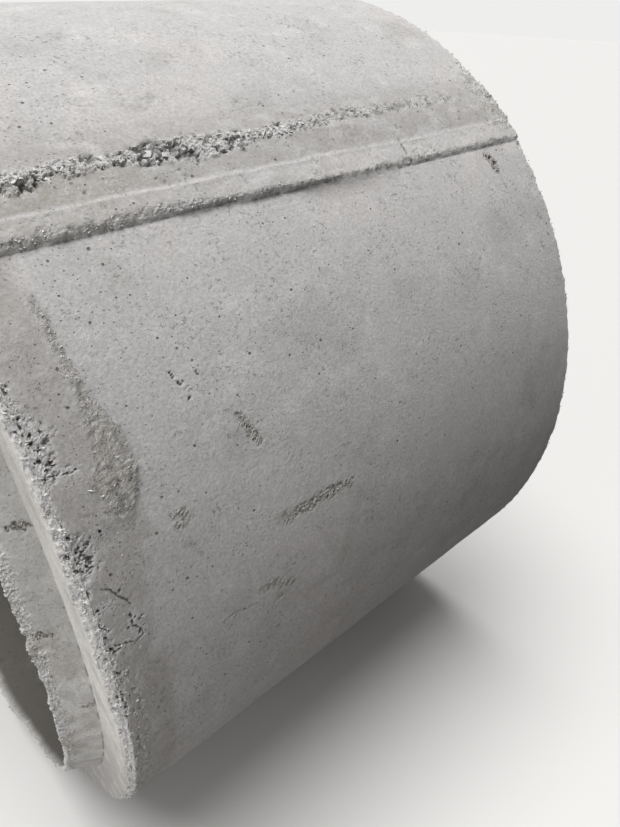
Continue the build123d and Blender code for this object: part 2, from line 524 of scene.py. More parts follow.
def seam_height(x, elevation, s):
    """How far the mould seam stands proud of the barrel there."""
    spot = unrolled(x, elevation)
    if elevation < 0:
        behind = (math.radians(elevation) + math.pi - s.ridge_elevation) * BARREL_RADIUS
        rise, high = 0.003, s.flash_height
        return along(
            behind, [(0.0, 0.0), (rise, high), (s.flash_width - rise, high), (s.flash_width, 0.0)]
        )
    offset = (math.radians(elevation) - s.ridge_elevation) * BARREL_RADIUS
    crest = s.ridge_height - 0.0012 + 0.0009 * waves(spot, 0.030) + 0.0005 * waves(spot, 0.010)
    crest *= 1 - 0.36 * fade(x, 0.0, 0.25) - 0.3 * fade(x, 0.478, 0.512)
    if offset < s.ridge_width / 2:
        foot, start = seam_foot(x, spot)
        return along(
            offset - start,
            [
                (0.0, 0.0), (0.0013, crest * 0.42), (foot * 0.6, crest * 0.80), (foot, crest * 0.98),
                (foot + 0.004, crest),
            ],
        )
    lip = s.ridge_width + 0.0022 * waves(spot, 0.030) + 0.0012 * waves(spot, 0.008)
    fin = s.ridge_width + s.band_width
    band = min(s.band_height, crest)
    return along(
        offset,
        [
            (lip - 0.005, crest), (lip - 0.001, crest + 0.0008), (lip + 0.003, band),
            (fin, band), (fin + s.fin_width, 0.003), (fin + s.fin_width + s.smear_width, 0.0),
        ],
    )


def fin_mask(x, elevation):
    """1 on the line of chips and 0 away from it."""
    spot = unrolled(x, elevation)
    half = along(x, FIN_WIDTH) / 2 * (1 + 0.5 * waves(spot, 0.05))
    distance = abs(math.radians(elevation - along(x, FIN_CENTRE))) * BARREL_RADIUS
    distance += 0.003 * waves(spot, 0.014)
    return along(x, FIN_ROUGHNESS) * fade(distance, half + 0.003, half - 0.003)


def arris_mask(x, elevation, radius, at):
    """1 on the shoulder's broken outer edge and 0 away from it."""
    spot = from_polar(x, elevation, radius)
    ragged = 1 + 0.20 * waves(spot, 0.030) + 0.25 * waves(spot, 0.010)
    on_barrel = max(x - at.shoulder_x, 0.0) / (along(elevation, ARRIS_BREAK) * ragged)
    reach = along(elevation, ARRIS_REACH) * (1 + 0.3 * waves(spot, 0.012))
    on_shoulder = max(BARREL_RADIUS - radius, 0.0) / reach
    return fade(max(on_barrel, on_shoulder), 1.12, 0.80)


def collar_masks(x, elevation):
    """How far the mortar collar stands proud (0 to 1), and where its dark sandy band is."""
    spot = unrolled(x, elevation)
    there = fade(elevation, 18.5, 21) * fade(elevation, 43, 39)
    rough = 0.003 * waves(spot, 0.02) + 0.0015 * waves(spot, 0.006)
    far = along(elevation, COLLAR_FAR) + rough
    near = along(elevation, COLLAR_NEAR) + 2 * rough - 0.003
    proud = there * fade(x, far + 0.0035, far - 0.0035)
    return proud, proud * fade(x, near - 0.006, near + 0.004)


def groove_end_mask(x, elevation, radius, at):
    """1 on the gritty outer edge of the groove end."""
    spot = from_polar(x, elevation, radius)
    width = 0.009 + 0.006 * waves(spot, 0.04) + 0.022 * fade(abs(elevation - 55.5), 5.5, 2.5)
    width += 0.006 * fade(abs(elevation - 47), 9, 5)
    reach = max(at.groove_x - x, 0.0) + max(BARREL_RADIUS - radius, 0.0)
    return fade(reach, width * 1.3, width * 0.7)


def cluster_mask(x, elevation):
    """How far inside a cluster of air holes a place is, from 0 to 1."""
    best = 0.0
    for middle, level, half_length, half_height in HOLE_CLUSTERS:
        across = (x - middle) / half_length
        if abs(across) < 1.5:
            up = math.radians(elevation - level) * BARREL_RADIUS / half_height
            best = max(best, fade(math.hypot(across, up), 1.3, 0.8))
    return best


def crack_mask(x, elevation):
    """1 in a crack and 0 away from it."""
    best = 0.0
    for points in CRACKS:
        if points[0][0] - 0.05 < x < points[-1][0] + 0.05:
            spot = unrolled(x, elevation)
            distance, _ = from_line(x, elevation, points)
            here = fade(distance + 0.0018 * noise.noise(spot / 0.0035), 0.0014, 0.0002)
            best = max(best, here * fade(noise.noise(spot / 0.007), -0.6, -0.1))
    return best


def scar_mask(x, elevation):
    """1 in a torn or scraped mark and 0 away from it."""
    best = 0.0
    for points, width, roughness in SCARS:
        if points[0][0] - 0.03 < x < points[-1][0] + 0.03:
            distance, share_along = from_line(x, elevation, points)
            spot = unrolled(x, elevation)
            half = width / 2 * (0.75 + 0.2 * share_along + 0.5 * waves(spot, 0.02))
            soft = min(width / 4, 0.002)
            torn = fade(distance + 1.3 * soft * waves(spot, 0.005), half + soft, half - soft)
            best = max(best, roughness * torn)
    return best


def hole_mask(x, elevation):
    """1 in a single deep hole and 0 away from them."""
    best = 0.0
    for middle, level, radius in DEEP_HOLES:
        if abs(x - middle) < 3 * radius:
            spot = unrolled(x, elevation)
            distance = (spot - unrolled(middle, level)).length + 0.4 * radius * waves(spot, 0.004)
            best = max(best, fade(distance, 1.15 * radius, 0.6 * radius))
    return best


def break_relief(point, size):
    """The height of a broken face, from about -1 to 1, with its largest facets about size across."""
    return 0.55 * shards(point, size) + 0.35 * shards(point, size / 2) + 0.22 * shards(point, size / 4)


def barrel_face(x, elevation, point, s, w, at):
    """The height of the sculpted surface over the barrel, and its look."""
    look = [0.0] * len(LAYERS)
    spot = unrolled(x, elevation)
    height = w.waviness * waves(point, 0.2) + 0.0004 * waves(point, 0.03)
    if SEAM_SPAN[0] < elevation < SEAM_SPAN[1]:
        height += seam_face(x, elevation, point, spot, look, s, w)
    elif FLASH_SPAN[0] - 1 < elevation < FLASH_SPAN[1] + 1:
        height += seam_height(x, elevation, s)
    if x < at.shoulder_x + NEAR_END:
        height += end_face(x, elevation, point, spot, look, w, at)
    if x > at.groove_x - 0.06:
        rim = groove_end_mask(x, elevation, BARREL_RADIUS, at)
        relief = break_relief(point, 0.014)
        height += rim * w.chip_depth * (0.45 * relief - 0.12)
        look[BROKEN] = max(look[BROKEN], 0.6 * rim)
        look[PASTE_AND_LIGHT] = max(look[PASTE_AND_LIGHT], 0.65 * rim)
        # Painted shade in the low hollows of the groove end's rim.
        look[RECESS_SHADE] = max(look[RECESS_SHADE], 0.5 * rim * fade(relief, -0.3, -0.6))
    if MARKED_SPAN[0] < elevation < MARKED_SPAN[1]:
        # Cracks and deep holes are cut in, with painted shade in them.
        crack, hole = crack_mask(x, elevation), hole_mask(x, elevation)
        height -= 0.002 * crack + 0.004 * hole
        look[RECESS_SHADE] = max(look[RECESS_SHADE], crack, hole)
        scar = scar_mask(x, elevation)
        if scar:
            relief = break_relief(point, 0.0045)
            height += 0.0017 * scar * (relief - 0.2)
            look[BROKEN] = max(look[BROKEN], scar)
            # Painted shade in the scar's low places.
            look[RECESS_SHADE] = max(look[RECESS_SHADE], 0.8 * scar * fade(relief, 0.05, -0.4))
            look[WARM] = max(look[WARM], 0.6 * scar)
    return height, look


def seam_face(x, elevation, point, spot, look, s, w):
    """The seam's part of the barrel's height. It adds the seam's look to the given one."""
    fin = fin_mask(x, elevation)
    big = along(x, [(-0.05, 1.0), (0.10, 0.5)])
    block = 0.008 + 0.010 * big
    relief = break_relief(point, block)
    gaps = fin * crevices(point, block, 0.0030) * fade(waves(point, 0.03), -0.25, 0.05)
    height = seam_height(x, elevation, s) + fin * (0.001 + 0.6 * w.chip_depth * big * relief)
    height -= 0.005 * big * gaps
    offset = (math.radians(elevation) - s.ridge_elevation) * BARREL_RADIUS
    width, start = seam_foot(x, spot)
    foot = fade(offset - start, -0.001, 0.001) * fade(offset - start, width + 0.004, width - 0.001)
    on_ridge = fade(offset - start, 0.0, 0.002) * fade(offset, s.ridge_width, s.ridge_width - 0.003)
    for middle, half in TORN_CREST:
        across = abs(x - middle) + 0.012 * waves(spot, 0.02)
        foot = max(foot, 0.8 * on_ridge * fade(across, half, 0.5 * half))
    lumps = break_relief(point + Vector((0, 0, 3)), 0.011)
    height += foot * (0.0009 + 0.0011 * fade(x, 0.02, -0.18)) * lumps
    # Painted shadow: a dark line where the ridge's foot meets the barrel.
    undercut = fade(abs(offset - start - 0.0004), 0.0020, 0.0006) * fade(waves(spot, 0.02), -0.5, 0.0)
    lip = fade(abs(offset - s.ridge_width), 0.003, 0.001) * fade(waves(spot, 0.010), -0.1, 0.35)
    lip *= fade(x, -0.30, -0.05)
    torn = fade(abs(elevation - 51.5), 5.5, 1.5) * fade(waves(spot, 0.035), 0.1, 0.4)
    torn *= fade(x, -0.26, -0.10)
    end = fade(x + 0.012 * waves(spot, 0.03), 0.445, 0.475)
    end *= fade(elevation, 45, 47) * fade(elevation, 58.5, 56.5)
    height += 0.0014 * max(torn, end) * relief * (1 - fin)
    on_band = fade(elevation, 47.6, 47.9) * fade(elevation, 52, 51)
    mottled = on_band * fade(waves(spot, 0.03), -0.3, 0.3) * fade(x, 0.0, -0.2)
    crumbly = foot * (0.5 + 0.4 * fade(waves(spot, 0.012), -0.2, 0.3))
    look[BROKEN] = max(fin, crumbly, 0.45 * torn, 0.45 * mottled, 0.75 * end)
    # Painted light: the bright cement colour lightens the ridge's downward foot against its shade, and a
    # painted highlight runs along the raised lip.
    look[PASTE_AND_LIGHT] = max(0.1 * on_ridge, 0.75 * foot, 0.45 * lip, 0.5 * end)
    look[SMEAR_AND_SHADE] = fade(elevation, 47.6, 47.9) * fade(elevation, 57.5, 53.5) * (1 - lip)
    look[SMEAR_AND_SHADE] = max(look[SMEAR_AND_SHADE], 0.45 * on_ridge * fade(x, 0.0, -0.2))
    near = look[SMEAR_AND_SHADE] * fade(x, -0.18, -0.3) * fade(elevation, 52, 50)
    look[WARM] = max(0.55 * near, 0.5 * end * fade(waves(spot, 0.02), -0.2, 0.3))
    # Painted shade in the gaps between chips and in the low places of the fin and the foot, with the
    # painted shadow line under the ridge.
    look[RECESS_SHADE] = max(
        gaps, 0.5 * fin * fade(relief, -0.4, -0.65), 0.5 * foot * fade(lumps, -0.25, -0.6),
        0.7 * undercut,
    )
    if near > 0.2:
        band_holes = pits(point, 0.011, 0.008)
        height -= 0.002 * band_holes
        height += 0.0008 * near * relief
        # Painted shade in the band's holes.
        look[RECESS_SHADE] = max(look[RECESS_SHADE], 0.9 * band_holes)
    return height


def end_face(x, elevation, point, spot, look, w, at):
    """The near end's part of the barrel's height. It adds the near end's look to the given one."""
    arris = arris_mask(x, elevation, BARREL_RADIUS, at)
    collar, band = collar_masks(x, elevation)
    relief = break_relief(point, 0.010)
    patchy = fade(waves(spot, 0.03), -0.4, 0.0)
    holes = arris * max(
        0.9 * pits(point, 0.011, 0.10), 0.8 * pits(point, 0.0055, 0.15),
        0.8 * crevices(point, 0.010, 0.0016) * fade(waves(point, 0.02), 0.1, 0.4),
    )
    low = fade(elevation, 10, 2)
    strokes = fade(x, at.shoulder_x + 0.055, at.shoulder_x + 0.025) * low * fade(elevation, -45, -30)
    strokes *= fade(waves(Vector((x + 0.0004 * elevation, elevation * 0.004, 0)), 0.007), -0.25, 0.3)
    if CLUSTER_SPAN[0] < x < CLUSTER_SPAN[1]:
        cluster = cluster_mask(x, elevation)
        if cluster:
            holes = max(holes, pits(point, 0.0065, 0.6) * cluster)
            look[BROKEN] = max(look[BROKEN], 0.6 * cluster)
    reach = 0.088 + 0.022 * fade(elevation, 10, 18) - 0.028 * fade(elevation, 25, 31)
    reach += 0.010 * waves(spot, 0.06)
    dressed = fade(x, at.shoulder_x + reach, at.shoulder_x + reach - 0.022) * fade(elevation, -75, -55)
    dressed *= fade(elevation, 56, 44)
    look[BROKEN] = max(look[BROKEN], arris * (0.6 + 0.4 * patchy), 0.9 * band, 0.85 * strokes)
    # Painted shade in the holes, in the low places of the sandy band and the arris, more on the arris's
    # low part, and in the strokes.
    look[RECESS_SHADE] = max(
        look[RECESS_SHADE], holes, 0.55 * band * fade(relief, 0.1, -0.5),
        (0.35 + 0.35 * low) * arris * fade(relief, -0.35 + 0.2 * low, -0.65),
        0.5 * strokes * fade(relief, 0.0, -0.5),
    )
    dusty = 0.2 * dressed * fade(waves(spot, 0.05), 0.0, 0.5)
    look[WARM] = max(look[WARM], 0.6 * band, 0.5 * strokes, dusty)
    look[SMEAR_AND_SHADE] = max(look[SMEAR_AND_SHADE], 0.95 * dressed)
    height = w.collar_height * collar + 0.0007 * band * break_relief(point, 0.007)
    height += 0.0018 * strokes * relief
    return height + arris * w.chip_depth * ((0.20 + 0.14 * low) * relief - 0.12) - 0.0040 * holes


def shoulder_face(x, elevation, radius, point, w, at):
    """The height of the sculpted surface over the shoulder and its arris, and its look."""
    look = [0.0] * len(LAYERS)
    relief = break_relief(point, 0.012)
    arris = arris_mask(x, elevation, radius, at)
    lip = fade(abs(arris - 0.45), 0.45, 0.2)
    rim = arris * fade(BARREL_RADIUS - radius, 0.003, 0.007) * fade(waves(point, 0.014), -0.4, 0.0)
    lip = max(lip, rim)
    holes = arris * pits(point, 0.010, 0.10)
    height = 0.0006 * waves(point, 0.05) * (1 - arris) + 0.0012 * lip
    height += arris * w.chip_depth * (0.26 * relief - 0.08) - 0.004 * holes
    look[BROKEN] = 0.9 * arris * (1 - 0.6 * lip)
    # Painted shade in the arris's holes and low places.
    look[RECESS_SHADE] = max(holes, 0.4 * arris * fade(relief, -0.3, -0.6))
    # Painted shade: the shoulder is darkened with the smear colour below the horizontal, and more
    # lightly from 17 to 25 degrees upwards.
    shade = max(0.35 * fade(elevation, 17, 25), 0.75 * fade(elevation, 0, -22))
    smear = 0.6 * fade(waves(Vector((0, elevation * 0.004, radius)), 0.022), 0.0, 0.5)
    look[PASTE_AND_LIGHT] = max((1 - arris) * (0.72 + 0.28 * fade(radius, 0.640, 0.675)), lip)
    look[SMEAR_AND_SHADE] = max(smear, shade) * (1 - arris)
    return height, look


def tongue_face(x, elevation, radius, point, w, at):
    """The same for the tongue, and how far its tip is broken back along x."""
    look = [0.0] * len(LAYERS)
    t = min(max((at.shoulder_x - x) / (at.shoulder_x - at.tip_x), 0.0), 1.0)
    around = from_polar(0, elevation, BORE_RADIUS)
    teeth = break_relief(around, 0.013)
    notch = fade(waves(around + Vector((3, 0, 0)), 0.045), 0.35, 0.7)
    loss = w.tip_loss * (0.75 * teeth + 0.2 + 0.25 * waves(around, 0.05) + 0.7 * notch)
    below = fade(abs(elevation + 82), 14, 5)
    shift = (loss - 0.008 * below) * t ** 4
    gritty = fade(t + 0.16 * waves(point, 0.02), 0.58, 0.85)
    relief = break_relief(point, 0.008)
    height = 0.0005 * waves(point, 0.04)
    if radius > BORE_RADIUS + HAIR:
        height += gritty * (0.0024 * relief + 0.0012 * noise.noise(point / 0.0028))
    ruffle = 1.1 * waves(point, 0.006)
    craters = []
    for place, level in TONGUE_CRATERS:
        up = math.radians(elevation - level) * BORE_RADIUS
        craters.append(fade(math.hypot((x - place) / 0.009, up / 0.005) + ruffle, 1.2, 0.8))
    crater, stained, pocket = craters
    joint = max(
        fade(abs(elevation - level - 0.2 * waves(point, 0.03)), 0.18, 0.05) for level in JOINT_LINES
    )
    joint *= fade(t, 0.75, 0.55)
    rough = max(crater, stained, pocket, 0.7 * joint)
    height += 0.0016 * rough * (relief - 0.3)
    # A painted shade line in the crease where the tongue meets the shoulder.
    root = fade(t, 0.05, 0.0) * fade(elevation, 12, 4) * fade(elevation, -50, -42)
    root *= fade(waves(around, 0.02), -0.1, 0.1)
    mottled = 0.36 + 0.14 * fade(waves(point, 0.016), 0.05, 0.35)
    look[BROKEN] = max(0.8 * gritty, 0.8 * rough, mottled)
    gaps = crevices(point, 0.006, 0.0014) * max(crater, stained, pocket)
    height -= 0.002 * gaps
    # Painted shade in the gritty tip's low places, in the gaps of the craters, and along the root
    # crease.
    look[RECESS_SHADE] = max(0.3 * gritty * fade(relief, -0.3, -0.7), 0.5 * gaps, 0.8 * root)
    look[PASTE_AND_LIGHT] = 0.35 * (1 - gritty)
    beige = fade(waves(point, 0.05), -0.05, 0.4) * fade(elevation, 20, 5)
    patch = fade(math.hypot((x + 0.494) / 0.022, math.radians(elevation - 3) / 0.05), 1.2, 0.4)
    look[WARM] = 0.6 * max(stained, beige, patch)
    # Smear clouds on the tongue, and painted shade darker towards its top.
    look[SMEAR_AND_SHADE] = max(0.5 * fade(elevation, -5, 15), 0.8 * fade(waves(point, 0.022), -0.15, 0.25))
    # Painted shade, darker towards the top of the tongue and away from its gritty tip.
    look[PAINTED_SHADE] = 0.30 * fade(elevation, -8, 15) * (1 - gritty)
    return height, look, shift


def sculpt_wall(bm, s, w, at):
    """Moves each point of the turned wall to the cast, chipped and broken surface.

    Layers on the points keep what the surface is there, and where shade or light is painted, for the
    material.
    """
    layers = [bm.verts.layers.float.new(name) for name in LAYERS]
    bm.normal_update()
    moves = []
    for v in bm.verts:
        x, elevation, radius = polar(v.co)
        shift = 0.0
        if radius < BORE_RADIUS + HAIR / 2 and x > at.tip_x + HAIR:
            height, look = 0.0, [0.0] * len(LAYERS)
            # Painted shade inside the bore, from just past the tongue's tip, fading out before the
            # groove end.
            look[PAINTED_SHADE] = fade(x, at.tip_x - 0.004, at.tip_x + 0.015)
            look[PAINTED_SHADE] *= fade(x, at.groove_x - 0.05, at.groove_x - 0.15)
            if x < at.tip_x + TIP_REACH:
                _, _, shift = tongue_face(x, elevation, radius, v.co, w, at)
        elif radius > BARREL_RADIUS - HAIR / 2:
            height, look = barrel_face(x, elevation, v.co, s, w, at)
        elif x < at.shoulder_x + s.shoulder_arris and radius > at.root_radius + 0.002:
            height, look = shoulder_face(x, elevation, radius, v.co, w, at)
        elif x < at.shoulder_x + HAIR:
            height, look, shift = tongue_face(x, elevation, radius, v.co, w, at)
        elif radius > BARREL_RADIUS - 0.03:
            height, look = barrel_face(x, elevation, v.co, s, w, at)
        else:
            height, look = 0.0, None
        moves.append(v.normal * height + Vector((shift, 0, 0)))
        for name, value in zip(layers, look or ()):
            v[name] = min(max(value, 0.0), 1.0)
    for v, move in zip(bm.verts, moves):
        v.co += move


def stone_shapes(dice, count):
    """Meshes of angular stones, each closed and about a metre in radius."""
    shapes = []
    for _ in range(count):
        bm = bmesh.new()
        corners = []
        for _ in range(6):
            way = Vector((dice.gauss(0, 1), dice.gauss(0, 1), dice.gauss(0, 1))).normalized()
            corners.append(bm.verts.new(way))
        bmesh.ops.convex_hull(bm, input=corners)
        bmesh.ops.recalc_face_normals(bm, faces=bm.faces)
        shape = bpy.data.meshes.new("stone")
        bm.to_mesh(shape)
        bm.free()
        shapes.append(shape)
    return shapes


def lay_stone(bm, shapes, dice, place, size):
    """One stone, turned and squashed at random, with its middle at a place."""
    squash = Matrix.Diagonal(
        (dice.uniform(0.8, 1.5), dice.uniform(0.7, 1.2), dice.uniform(0.35, 0.75), 1.0)
    )
    axis = Vector((dice.gauss(0, 1), dice.gauss(0, 1), dice.gauss(0, 1)))
    turn = Matrix.Rotation(dice.uniform(0, math.tau), 4, axis)
    stone = dice.choice(shapes).copy()
    stone.transform(Matrix.Translation(place) @ turn @ squash @ Matrix.Scale(size, 4))
    bm.from_mesh(stone)
    bpy.data.meshes.remove(stone)


def loose_chips(s, w, at):
    """The angular chips and crumbs that stick to the broken seam and edges, half sunk in them."""
    bm = bmesh.new()
    dice = random.Random(w.seed)
    shapes = stone_shapes(dice, 14)

    def stick(x, elevation, size, sunk, least=0.4):
        point = from_polar(x, elevation, BARREL_RADIUS)
        height, look = barrel_face(x, elevation, point, s, w, at)
        if look[BROKEN] >= least and look[RECESS_SHADE] < 0.4:
            place = from_polar(x, elevation, BARREL_RADIUS + height - sunk * size)
            lay_stone(bm, shapes, dice, place, size)

    for _ in range(FIN_STONES):
        x = dice.uniform(at.shoulder_x + 0.02, at.groove_x - 0.03)
        elevation = along(x, FIN_CENTRE) + arc(dice.gauss(0, along(x, FIN_WIDTH) * 0.27))
        big = along(x, [(-0.05, 1.0), (0.08, 0.5)])
        stick(x, elevation, big * (0.0014 + 0.0062 * dice.random() ** 3), 0.3)
    for _ in range(FIN_CRUMBS):
        x = dice.uniform(at.shoulder_x + 0.02, 0.3)
        elevation = along(x, FIN_CENTRE) + arc(dice.gauss(0, along(x, FIN_WIDTH) * 0.55))
        stick(x, elevation, dice.uniform(0.0009, 0.0022), 0.4, least=0.0)
    for _ in range(ARRIS_STONES):
        elevation = dice.uniform(-50, 62)
        x = at.shoulder_x + s.shoulder_arris * 0.8
        x += abs(dice.gauss(0, 0.5)) * along(elevation, ARRIS_BREAK)
        stick(x, elevation, 0.0006 + 0.0030 * dice.random() ** 4, 0.4)
    for _ in range(ARRIS_CRUMBS):
        elevation = dice.uniform(-40, 45)
        x = at.shoulder_x + s.shoulder_arris + dice.uniform(0.9, 1.8) * along(elevation, ARRIS_BREAK)
        stick(x, elevation, dice.uniform(0.0007, 0.0016), 0.5, least=0.0)
    for _ in range(FOOT_STONES):
        x = dice.uniform(at.shoulder_x + 0.02, 0.3)
        elevation = math.degrees(s.ridge_elevation) + arc(dice.uniform(0.001, 0.014))
        stick(x, elevation, dice.uniform(0.0012, 0.0034), 0.5)
    for _ in range(COLLAR_STONES):
        elevation = dice.uniform(19, 41)
        x = dice.uniform(along(elevation, COLLAR_NEAR) - 0.006, along(elevation, COLLAR_FAR) + 0.003)
        stick(x, elevation, 0.0006 + 0.0034 * dice.random() ** 8, 0.45)
    for _ in range(RIM_STONES):
        x = at.groove_x - abs(dice.gauss(0, 0.008))
        stick(x, dice.uniform(-10, 75), dice.uniform(0.0008, 0.0020), 0.6)
    for points, width, roughness in SCARS:
        for _ in range(int(SCAR_STONES * roughness)):
            (x0, low), (x1, high) = points[0], points[-1]
            t = dice.random()
            x = x0 + (x1 - x0) * t + dice.gauss(0, width * 0.3)
            elevation = low + (high - low) * t + arc(dice.gauss(0, width * 0.3))
            stick(x, elevation, dice.uniform(0.0007, 0.0015), 0.5)
    for _ in range(SHOULDER_STONES):
        elevation = dice.uniform(-75, 66)
        radius = BARREL_RADIUS - dice.uniform(0.002, 0.0145)
        x = at.shoulder_x + max(0.0, radius - (BARREL_RADIUS - s.shoulder_arris))
        if arris_mask(x, elevation, radius, at) > 0.4:
            size = 0.0009 + 0.0025 * dice.random() ** 2
            lay_stone(bm, shapes, dice, from_polar(x, elevation, radius), size)
    for _ in range(TONGUE_STONES):
        elevation = dice.uniform(-85, 40)
        x = at.tip_x + abs(dice.gauss(0, 0.0055))
        radius = at.tip_radius + at.taper * (x - at.tip_x)
        _, _, shift = tongue_face(x, elevation, radius, from_polar(x, elevation, radius), w, at)
        place = from_polar(x + shift, elevation, radius - HAIR)
        lay_stone(bm, shapes, dice, place, dice.uniform(0.0007, 0.0020))
    for shape in shapes:
        bpy.data.meshes.remove(shape)
    return bm


def add_piece(name, bm, material):
    """A finished piece of the pipe, which rides on the one body and takes the concrete slot."""
    mesh = bpy.data.meshes.new(name)
    bm.to_mesh(mesh)
    bm.free()
    mesh.materials.append(material)
    piece = bpy.data.objects.new(name, mesh)
    bpy.context.scene.collection.objects.link(piece)
    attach(piece, "root")
    return piece


def add_node(tree, kind, inputs=None, **settings):
    """A node with its settings made and its inputs set or wired, by name or number."""
    node = tree.nodes.new(kind)
    for name, value in settings.items():
        setattr(node, name, value)
    for name, value in (inputs or {}).items():
        if isinstance(value, bpy.types.NodeSocket):
            tree.links.new(value, node.inputs[name])
        else:
            node.inputs[name].default_value = value
    return node


def maths(tree, operation, *values, clamp=False):
    """The result of one sum on values or sockets."""
    node = add_node(tree, "ShaderNodeMath", dict(enumerate(values)), operation=operation)
    node.use_clamp = clamp
    return node.outputs[0]


def ease(tree, value, low, high):
    """0 below low, 1 above high and smooth between. low may be above high."""
    node = add_node(
        tree, "ShaderNodeMapRange",
        {"Value": value, "From Min": low, "From Max": high, "To Min": 0.0, "To Max": 1.0},
        interpolation_type="SMOOTHSTEP",
    )
    return node.outputs["Result"]


def blend(tree, mask, below, above, way="MIX"):
    """One colour laid on another where the mask says."""
    node = add_node(tree, "ShaderNodeMix", data_type="RGBA", blend_type=way)
    for index, value in ((0, mask), (6, below), (7, above)):
        if isinstance(value, bpy.types.NodeSocket):
            tree.links.new(value, node.inputs[index])
        elif index == 0:
            node.inputs[index].default_value = value
        else:
            node.inputs[index].default_value = (*value[:3], 1.0)
    return node.outputs[2]


def clouds(tree, spot, size, detail=2.0, roughness=0.5):
    """Soft noise from 0 to 1, with clouds about size across, in metres."""
    return add_node(
        tree, "ShaderNodeTexNoise",
        {"Vector": spot, "Scale": 1 / size, "Detail": detail, "Roughness": roughness},
    ).outputs["Fac"]


def new_group(name, inputs, outputs):
    """An empty shader group with named float or vector sockets, and its input and output nodes."""
    tree = bpy.data.node_groups.new(name, "ShaderNodeTree")
    kinds = {"value": "NodeSocketFloat", "vector": "NodeSocketVector", "colour": "NodeSocketColor"}
    for socket, (kind, default) in inputs.items():
        made = tree.interface.new_socket(socket, in_out="INPUT", socket_type=kinds[kind])
        if default is not None:
            made.default_value = default
    for socket, kind in outputs.items():
        tree.interface.new_socket(socket, in_out="OUTPUT", socket_type=kinds[kind])
    return tree, tree.nodes.new("NodeGroupInput").outputs, tree.nodes.new("NodeGroupOutput").inputs


def sand_group():
    """Cement skin with sand under it: a tone about 1 and a height in metres."""
    tree, given, out = new_group(
        "sand_grain",
        {"Vector": ("vector", None), "Grain": ("value", 0.003), "Contrast": ("value", 0.1)},
        {"Tone": "value", "Height": "value"},
    )
    fine = add_node(
        tree, "ShaderNodeTexNoise",
        {
            "Vector": given["Vector"], "Scale": maths(tree, "DIVIDE", 1.0, given["Grain"]),
            "Detail": 3.0, "Roughness": 0.7,
        },
    ).outputs["Fac"]
    centred = maths(tree, "SUBTRACT", fine, 0.5)
    tree.links.new(maths(tree, "MULTIPLY_ADD", centred, given["Contrast"], 1.0), out["Tone"])
    tree.links.new(maths(tree, "MULTIPLY", centred, given["Grain"]), out["Height"])
    return tree


def around_bore(tree, vector):
    """A place unrolled about the bore's axis: along and outwards as X, round the barrel as Y."""
    middle = add_node(
        tree, "ShaderNodeVectorMath", {0: vector, 1: (0.0, 0.0, AXIS_HEIGHT)}, operation="SUBTRACT"
    ).outputs[0]
    part = add_node(tree, "ShaderNodeSeparateXYZ", {"Vector": middle}).outputs
    across = add_node(tree, "ShaderNodeCombineXYZ", {"X": part["Y"], "Y": part["Z"]}).outputs[0]
    radius = add_node(tree, "ShaderNodeVectorMath", {0: across}, operation="LENGTH").outputs["Value"]
    turn = maths(tree, "ARCTAN2", part["Z"], maths(tree, "MULTIPLY", part["Y"], -1.0))
    places = {
        "X": maths(tree, "ADD", part["X"], radius), "Y": maths(tree, "MULTIPLY", turn, BARREL_RADIUS),
    }
    return add_node(tree, "ShaderNodeCombineXYZ", places).outputs[0]


def pore_group():
    """Air holes in a cast face: 1 in a hole and 0 outside, with holes of several sizes."""
    tree, given, out = new_group(
        "air_pores",
        {
            "Vector": ("vector", None), "Spacing": ("value", 0.03), "Share": ("value", 0.3),
            "Radius": ("value", 0.003),
        },
        {"Mask": "value"},
    )
    pushed = around_bore(tree, ruffled(tree, given["Vector"], 0.003, 0.0016))
    cells = add_node(
        tree, "ShaderNodeTexVoronoi",
        {"Vector": pushed, "Scale": maths(tree, "DIVIDE", 1.0, given["Spacing"])},
        voronoi_dimensions="2D",
    )
    drawn = add_node(tree, "ShaderNodeSeparateColor", {"Color": cells.outputs["Color"]}).outputs
    there = maths(tree, "LESS_THAN", drawn["Red"], given["Share"])
    size = maths(tree, "MULTIPLY_ADD", maths(tree, "POWER", drawn["Green"], 3.0), 1.0, 0.4)
    radius = maths(tree, "MULTIPLY", size, maths(tree, "DIVIDE", given["Radius"], given["Spacing"]))
    inside = maths(tree, "DIVIDE", cells.outputs["Distance"], radius)
    tree.links.new(maths(tree, "MULTIPLY", ease(tree, inside, 1.2, 0.6), there), out["Mask"])
    return tree


def hairline_group():
    """Broken lengths of hair-thin cracks in the skin: 1 in a crack and 0 outside."""
    tree, given, out = new_group(
        "hairlines", {"Vector": ("vector", None), "Spacing": ("value", 0.08)}, {"Mask": "value"}
    )
    pushed = around_bore(tree, ruffled(tree, given["Vector"], 0.030, 0.016))
    cells = add_node(
        tree, "ShaderNodeTexVoronoi",
        {"Vector": pushed, "Scale": maths(tree, "DIVIDE", 1.0, given["Spacing"])},
        voronoi_dimensions="2D", feature="DISTANCE_TO_EDGE",
    )
    line = ease(tree, cells.outputs["Distance"], 0.012, 0.003)
    there = ease(tree, clouds(tree, given["Vector"], 0.045, detail=3.0), 0.62, 0.70)
    tree.links.new(maths(tree, "MULTIPLY", line, there), out["Mask"])
    return tree


